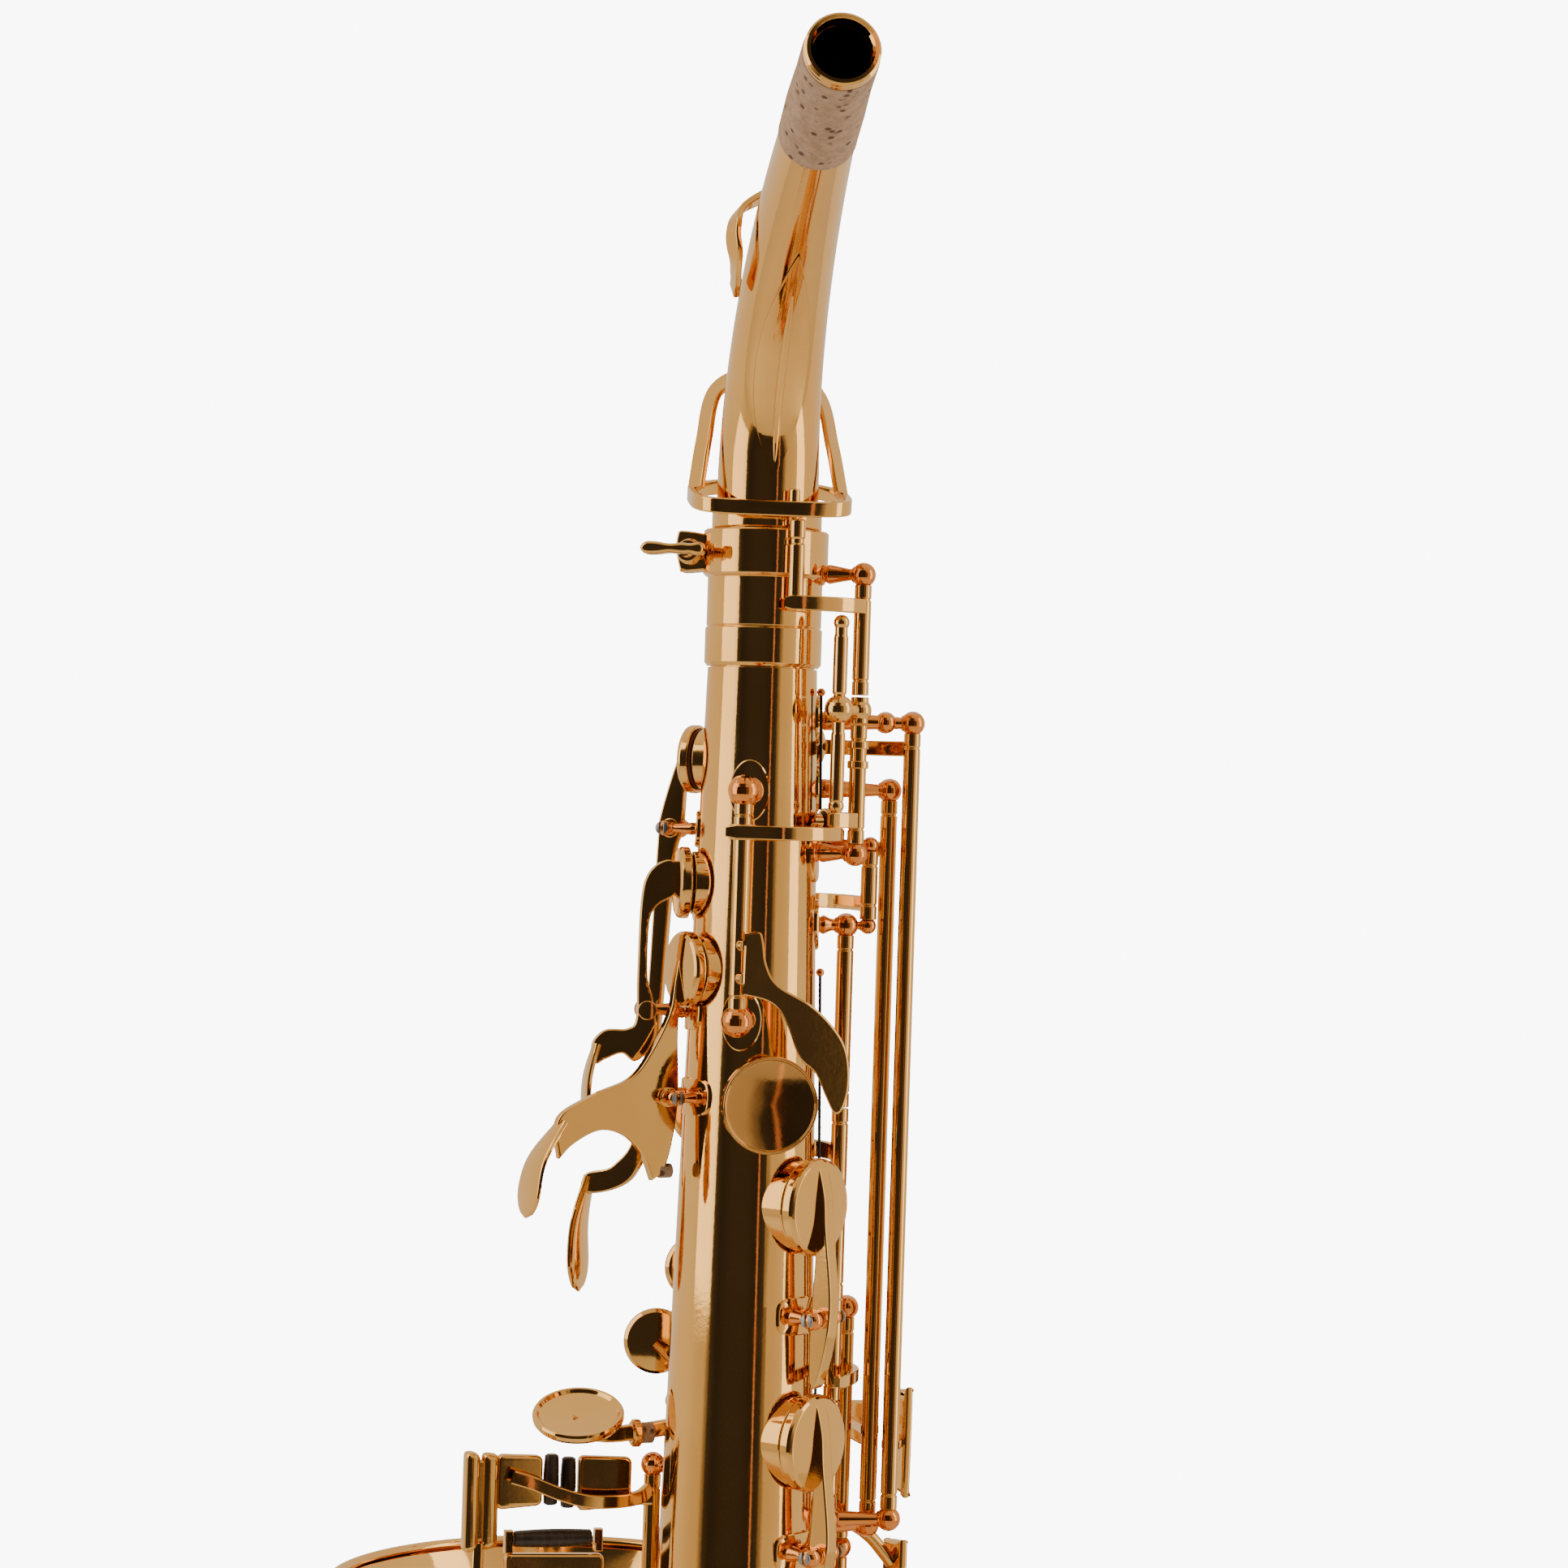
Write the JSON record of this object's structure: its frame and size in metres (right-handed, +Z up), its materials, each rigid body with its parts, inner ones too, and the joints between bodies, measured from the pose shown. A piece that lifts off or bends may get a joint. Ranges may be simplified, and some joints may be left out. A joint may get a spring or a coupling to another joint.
{
  "type": "alto saxophone",
  "caption": "Curved woodwind in lacquered brass: conical tube with bow and upturned bell, swivelling corked neck, and sprung keys on upright hinge rods.",
  "frame": {"origin": "centre of the hole in the strap ring, from which the instrument hangs", "axes": "+Z up along the body tube, towards the neck; +Y from the body tube towards the bell; +X to the right-hand side of the player, who is on the -Y side"},
  "size_m": [0.1223, 0.2685, 0.651],
  "materials": {
    "lacquered_brass": "polished, clear gold lacquer",
    "dark_brass": "polished, darker lacquer",
    "cork": "sanded cork",
    "pad": "matt",
    "roller": "polished"
  },
  "bodies": {
    "body": {"body_tube": "lacquered_brass", "neck_receiver": "lacquered_brass", "bow": "lacquered_brass", "bell": "lacquered_brass", "body_bow_ring": "lacquered_brass", "bell_bow_ring": "lacquered_brass", "bell_brace": "dark_brass", "strap_ring": "lacquered_brass", "thumb_rest": "dark_brass", "thumb_hook": "lacquered_brass", "bell_key_guard": "lacquered_brass", "low_c_guard": "lacquered_brass", "low_e_flat_guard": "lacquered_brass"},
    "neck": {"neck_tube": "lacquered_brass", "neck_cork": "cork", "neck_brace": "lacquered_brass"},
    "neck_screw": {"neck_screw": "lacquered_brass"},
    "thumb_octave_key": {"thumb_octave_key": "lacquered_brass"},
    "octave_pin_key": {"octave_pin_key": "lacquered_brass"},
    "neck_octave_key": {"neck_octave_key": "lacquered_brass"},
    "octave_saddle": {"octave_saddle": "lacquered_brass"},
    "octave_teeter": {"octave_teeter": "dark_brass"},
    "body_octave_key": {"body_octave_key": "lacquered_brass"},
    "palm_d": {"palm_d": "lacquered_brass", "palm_d_pad": "pad"},
    "palm_e_flat": {"palm_e_flat": "lacquered_brass", "palm_e_flat_pad": "pad"},
    "palm_f": {"palm_f": "lacquered_brass", "palm_f_pad": "pad"},
    "side_c_lever": {"side_c_lever": "lacquered_brass", "side_c_lever_pad": "pad"},
    "side_b_flat_lever": {"side_b_flat_lever": "lacquered_brass", "side_b_flat_lever_pad": "pad"},
    "side_c_touch": {"side_c_touch": "lacquered_brass"},
    "side_b_flat_touch": {"side_b_flat_touch": "lacquered_brass"},
    "high_e_key": {"high_e_key": "lacquered_brass"},
    "high_f_sharp_key": {"high_f_sharp_key": "lacquered_brass"},
    "front_f_key": {"front_f_key": "lacquered_brass"},
    "key_c": {"key_c": "lacquered_brass"},
    "key_b": {"key_b": "lacquered_brass"},
    "key_bis": {"key_bis": "lacquered_brass"},
    "key_a": {"key_a": "lacquered_brass"},
    "key_g": {"key_g": "lacquered_brass"},
    "key_f_sharp": {"key_f_sharp": "lacquered_brass"},
    "key_f": {"key_f": "lacquered_brass"},
    "key_e": {"key_e": "lacquered_brass"},
    "key_d": {"key_d": "lacquered_brass"},
    "g_sharp_key": {"g_sharp_key": "lacquered_brass"},
    "low_b_key": {"low_b_key": "lacquered_brass"},
    "low_b_flat_key": {"low_b_flat_key": "lacquered_brass"},
    "low_c_sharp_key": {"low_c_sharp_key": "lacquered_brass"},
    "low_e_flat_key": {"low_e_flat_key": "lacquered_brass"},
    "low_c_key": {"low_c_key": "lacquered_brass"},
    "table_roller_right": {"table_roller_right": "roller"},
    "table_roller_left": {"table_roller_left": "roller"},
    "table_roller_long": {"table_roller_long": "roller"}
  },
  "joints": [
    {"name": "neck_swivel", "type": "hinge", "parent": "body", "child": "neck", "pos_m": [0.00214, 0.03054, 0.262], "axis": [0, 0, 1], "range_deg": [-30, 30]},
    {"name": "neck_screw_turn", "type": "hinge", "parent": "body", "child": "neck_screw", "pos_m": [-0.01186, 0.04071, 0.2565], "axis": [-0.5878, -0.809, 0], "range_deg": [0, 300]},
    {"name": "thumb_octave_key_turn", "type": "hinge", "parent": "body", "child": "thumb_octave_key", "pos_m": [-0.01081, 0.01336, 0.172], "axis": [0, 0, 1], "range_deg": [0, 7], "stiffness_Nm_per_rad": 0.05, "springref_deg": -22.92},
    {"name": "octave_pin_key_turn", "type": "hinge", "parent": "body", "child": "octave_pin_key", "pos_m": [0.0195, 0.01435, 0.238], "axis": [0, 0, 1], "range_deg": [0, 5.5]},
    {"name": "neck_octave_key_turn", "type": "hinge", "parent": "neck", "child": "neck_octave_key", "pos_m": [0.00633, 0.04093, 0.3], "axis": [-0.9272, 0.3746, 0], "range_deg": [0, 3.5]},
    {"name": "octave_saddle_turn", "type": "hinge", "parent": "body", "child": "octave_saddle", "pos_m": [0.0195, 0.01435, 0.2205], "axis": [0, 0, 1], "range_deg": [0, 2.5]},
    {"name": "octave_teeter_rock", "type": "hinge", "parent": "octave_saddle", "child": "octave_teeter", "pos_m": [0.01256, 0.01174, 0.2205], "axis": [-0.936, -0.3519, 0], "range_deg": [-3, 3]},
    {"name": "body_octave_key_turn", "type": "hinge", "parent": "body", "child": "body_octave_key", "pos_m": [0.0195, 0.01435, 0.202], "axis": [0, 0, 1], "range_deg": [-8, 0], "stiffness_Nm_per_rad": 0.05, "springref_deg": 22.92},
    {"name": "palm_d_rock", "type": "hinge", "parent": "body", "child": "palm_d", "pos_m": [-0.01955, 0.03092, 0.1294], "axis": [-0.0175, -0.9998, 0], "range_deg": [0, 6], "stiffness_Nm_per_rad": 0.05, "springref_deg": -22.92},
    {"name": "palm_e_flat_rock", "type": "hinge", "parent": "body", "child": "palm_e_flat", "pos_m": [-0.0214, 0.03865, 0.149], "axis": [-0.3256, -0.9455, 0], "range_deg": [0, 8], "stiffness_Nm_per_rad": 0.05, "springref_deg": -22.92},
    {"name": "palm_f_rock", "type": "hinge", "parent": "body", "child": "palm_f", "pos_m": [-0.01199, 0.04679, 0.1916], "axis": [-0.7547, -0.6561, 0], "range_deg": [0, 6], "stiffness_Nm_per_rad": 0.05, "springref_deg": -22.92},
    {"name": "side_c_lever_rock", "type": "hinge", "parent": "body", "child": "side_c_lever", "pos_m": [0.01228, 0.00975, 0.0795], "axis": [0.8988, 0.4384, 0], "range_deg": [0, 8]},
    {"name": "side_b_flat_lever_rock", "type": "hinge", "parent": "body", "child": "side_b_flat_lever", "pos_m": [0.01287, 0.00853, 0.025], "axis": [0.8988, 0.4384, 0], "range_deg": [0, 8]},
    {"name": "side_c_touch_turn", "type": "hinge", "parent": "body", "child": "side_c_touch", "pos_m": [0.02909, 0.02866, 0.052], "axis": [0, 0, 1], "range_deg": [-8, 0], "stiffness_Nm_per_rad": 0.05, "springref_deg": 22.92},
    {"name": "side_b_flat_touch_turn", "type": "hinge", "parent": "body", "child": "side_b_flat_touch", "pos_m": [0.02909, 0.02866, 0.012], "axis": [0, 0, 1], "range_deg": [-8, 0], "stiffness_Nm_per_rad": 0.05, "springref_deg": 22.92},
    {"name": "high_e_key_turn", "type": "hinge", "parent": "body", "child": "high_e_key", "pos_m": [0.03653, 0.0187, 0.122], "axis": [0, 0, 1], "range_deg": [-8, 0], "stiffness_Nm_per_rad": 0.05, "springref_deg": 22.92},
    {"name": "high_f_sharp_key_turn", "type": "hinge", "parent": "body", "child": "high_f_sharp_key", "pos_m": [0.03343, 0.02332, 0.122], "axis": [0, 0, 1], "range_deg": [-7, 0], "stiffness_Nm_per_rad": 0.05, "springref_deg": 22.92},
    {"name": "front_f_key_turn", "type": "hinge", "parent": "body", "child": "front_f_key", "pos_m": [0.02748, 0.02132, 0.182], "axis": [0, 0, 1], "range_deg": [0, 5], "stiffness_Nm_per_rad": 0.05, "springref_deg": -22.92},
    {"name": "key_c_turn", "type": "hinge", "parent": "body", "child": "key_c", "pos_m": [0.02259, 0.0231, 0.138], "axis": [0, 0, 1], "range_deg": [0, 6.1]},
    {"name": "key_b_turn", "type": "hinge", "parent": "body", "child": "key_b", "pos_m": [0.02259, 0.0231, 0.116], "axis": [0, 0, 1], "range_deg": [0, 6], "stiffness_Nm_per_rad": 0.05, "springref_deg": -22.92},
    {"name": "key_bis_turn", "type": "hinge", "parent": "body", "child": "key_bis", "pos_m": [0.02259, 0.0231, 0.0935], "axis": [0, 0, 1], "range_deg": [0, 6], "stiffness_Nm_per_rad": 0.05, "springref_deg": -22.92},
    {"name": "key_a_turn", "type": "hinge", "parent": "body", "child": "key_a", "pos_m": [0.02259, 0.0231, 0.0705], "axis": [0, 0, 1], "range_deg": [0, 5.9], "stiffness_Nm_per_rad": 0.05, "springref_deg": -22.92},
    {"name": "key_g_turn", "type": "hinge", "parent": "body", "child": "key_g", "pos_m": [0.02259, 0.0231, 0.0455], "axis": [0, 0, 1], "range_deg": [0, 5.8], "stiffness_Nm_per_rad": 0.05, "springref_deg": -22.92},
    {"name": "key_f_sharp_turn", "type": "hinge", "parent": "body", "child": "key_f_sharp", "pos_m": [0.02679, 0.01631, -0.008], "axis": [0, 0, 1], "range_deg": [0, 4.9]},
    {"name": "key_f_turn", "type": "hinge", "parent": "body", "child": "key_f", "pos_m": [0.02679, 0.01631, -0.041], "axis": [0, 0, 1], "range_deg": [0, 4.8], "stiffness_Nm_per_rad": 0.05, "springref_deg": -22.92},
    {"name": "key_e_turn", "type": "hinge", "parent": "body", "child": "key_e", "pos_m": [0.02679, 0.01631, -0.075], "axis": [0, 0, 1], "range_deg": [0, 4.8], "stiffness_Nm_per_rad": 0.05, "springref_deg": -22.92},
    {"name": "key_d_turn", "type": "hinge", "parent": "body", "child": "key_d", "pos_m": [0.02679, 0.01631, -0.111], "axis": [0, 0, 1], "range_deg": [0, 4.7], "stiffness_Nm_per_rad": 0.05, "springref_deg": -22.92},
    {"name": "g_sharp_key_turn", "type": "hinge", "parent": "body", "child": "g_sharp_key", "pos_m": [-0.00142, 0.05588, 0.032], "axis": [0, 0, 1], "range_deg": [0, 9], "stiffness_Nm_per_rad": 0.05, "springref_deg": -22.92},
    {"name": "low_b_key_turn", "type": "hinge", "parent": "body", "child": "low_b_key", "pos_m": [-0.00778, 0.05509, -0.038], "axis": [0, 0, 1], "range_deg": [0, 3], "stiffness_Nm_per_rad": 0.05, "springref_deg": -22.92},
    {"name": "low_b_flat_key_turn", "type": "hinge", "parent": "body", "child": "low_b_flat_key", "pos_m": [-0.00142, 0.05588, -0.038], "axis": [0, 0, 1], "range_deg": [0, 3], "stiffness_Nm_per_rad": 0.05, "springref_deg": -22.92},
    {"name": "low_c_sharp_key_turn", "type": "hinge", "parent": "body", "child": "low_c_sharp_key", "pos_m": [-0.01554, 0.05161, -0.068], "axis": [0, 0, 1], "range_deg": [0, 4.5], "stiffness_Nm_per_rad": 0.05, "springref_deg": -22.92},
    {"name": "low_e_flat_key_turn", "type": "hinge", "parent": "body", "child": "low_e_flat_key", "pos_m": [0.03272, 0.03932, -0.149], "axis": [0, 0, 1], "range_deg": [0, 7], "stiffness_Nm_per_rad": 0.05, "springref_deg": -22.92},
    {"name": "low_c_key_turn", "type": "hinge", "parent": "body", "child": "low_c_key", "pos_m": [0.03272, 0.03932, -0.208], "axis": [0, 0, 1], "range_deg": [0, 9], "stiffness_Nm_per_rad": 0.05, "springref_deg": -22.92},
    {"name": "table_roller_right_spin", "type": "hinge", "parent": "low_b_key", "child": "table_roller_right", "pos_m": [-0.02718, 0.06116, 0.035], "axis": [0, 0, 1], "continuous": true},
    {"name": "table_roller_left_spin", "type": "hinge", "parent": "low_c_sharp_key", "child": "table_roller_left", "pos_m": [-0.03181, 0.0609, 0.036], "axis": [0, 0, 1], "continuous": true},
    {"name": "table_roller_long_spin", "type": "hinge", "parent": "low_b_flat_key", "child": "table_roller_long", "pos_m": [-0.03034, 0.06221, 0.0217], "axis": [-0.9744, 0.225, 0], "continuous": true}
  ],
  "couplings": [
    {"joint": "octave_pin_key_turn", "follows": "thumb_octave_key_turn", "ratio": 0.7},
    {"joint": "neck_octave_key_turn", "follows": "thumb_octave_key_turn", "ratio": 0.43},
    {"joint": "octave_saddle_turn", "follows": "thumb_octave_key_turn", "ratio": 0.3},
    {"joint": "side_c_lever_rock", "follows": "side_c_touch_turn", "ratio": -1},
    {"joint": "side_b_flat_lever_rock", "follows": "side_b_flat_touch_turn", "ratio": -1},
    {"joint": "key_c_turn", "follows": "key_a_turn", "ratio": 1},
    {"joint": "key_f_sharp_turn", "follows": "key_f_turn", "ratio": 1}
  ]
}
